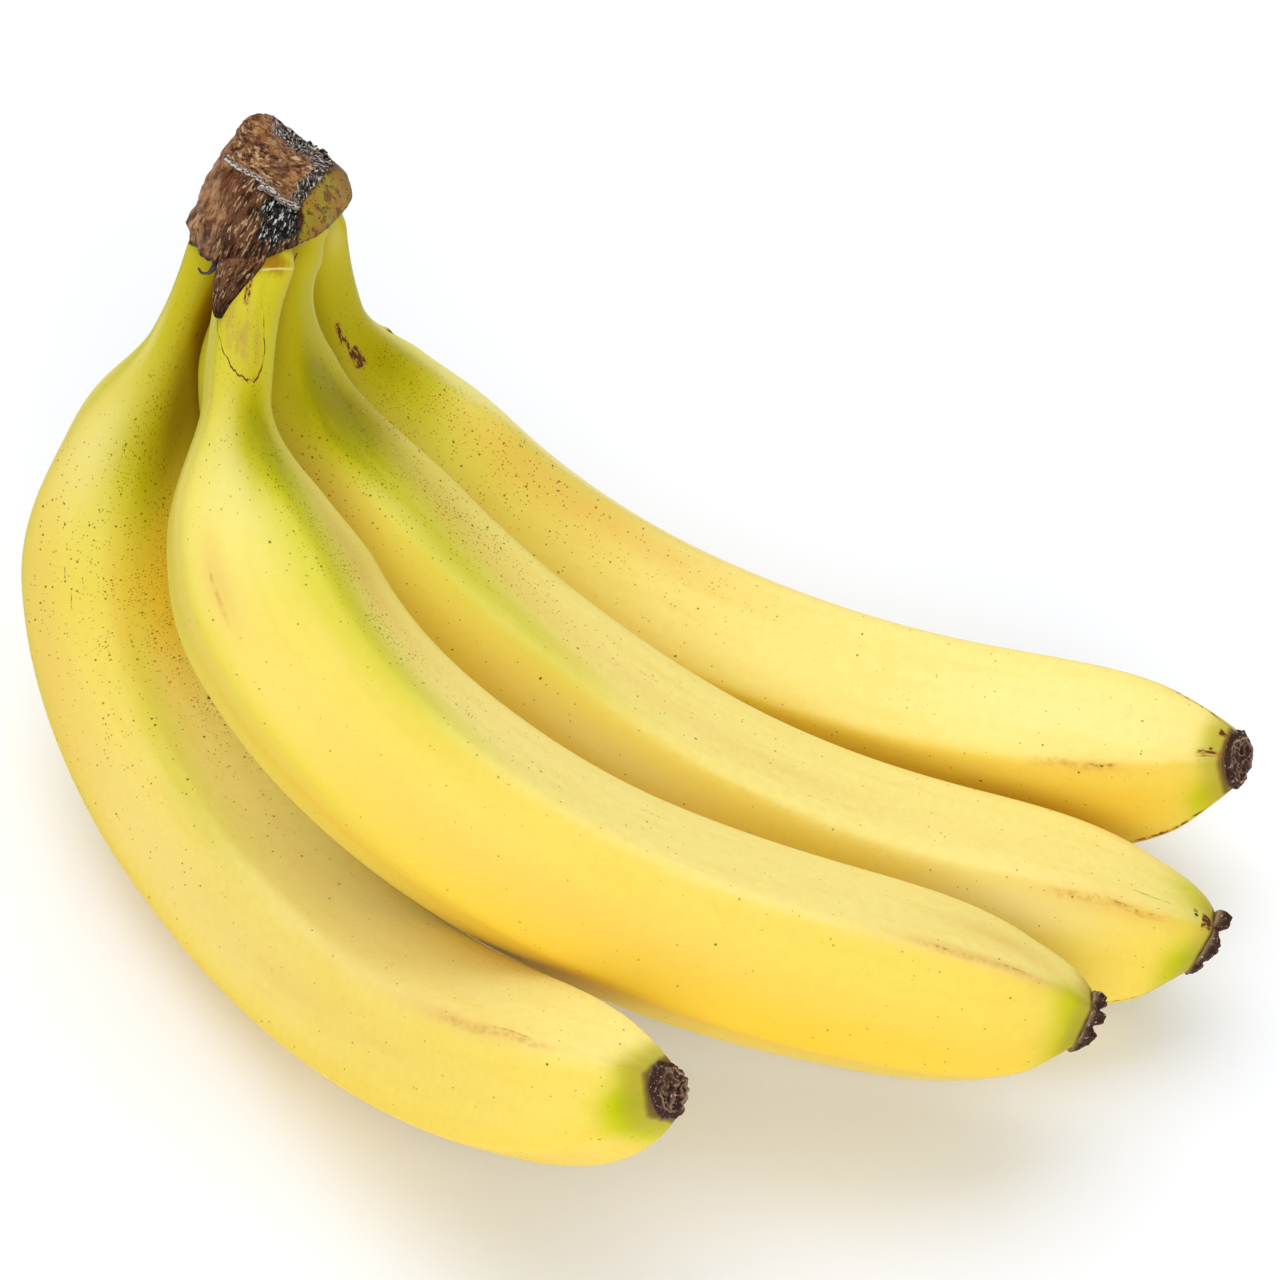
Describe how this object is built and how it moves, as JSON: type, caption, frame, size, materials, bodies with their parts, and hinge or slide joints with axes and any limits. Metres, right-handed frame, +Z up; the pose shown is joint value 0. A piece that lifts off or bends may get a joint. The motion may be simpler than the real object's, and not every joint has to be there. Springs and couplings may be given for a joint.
{
  "type": "bunch of bananas",
  "caption": "Bunch of ripening yellow bananas lying on its side, with curved five-ridged fruits, greenish necks joined in a brown woody crown, and dark dried flower ends.",
  "frame": {"origin": "on the surface the bunch lies on, under the middle of its bounding box", "axes": "+Z up, +X from the crown's end towards the flower ends, +Y to the far side of the bunch"},
  "size_m": [0.2158, 0.1525, 0.1111],
  "materials": {
    "peel": "smooth waxy banana peel, satin, yellow with green necks, green flower ends and fine brown specks",
    "flower_end": "dry dark purple-brown flower end, rough and pitted",
    "crown_skin": "dry brown fibrous skin with a rough orange-brown cut face and a black scar"
  },
  "bodies": {
    "root": {"banana_left": "peel", "banana_front": "peel", "banana_middle": "peel", "banana_right": "peel", "tip_left": "flower_end", "tip_front": "flower_end", "tip_middle": "flower_end", "tip_right": "flower_end", "crown": "crown_skin"}
  },
  "joints": []
}
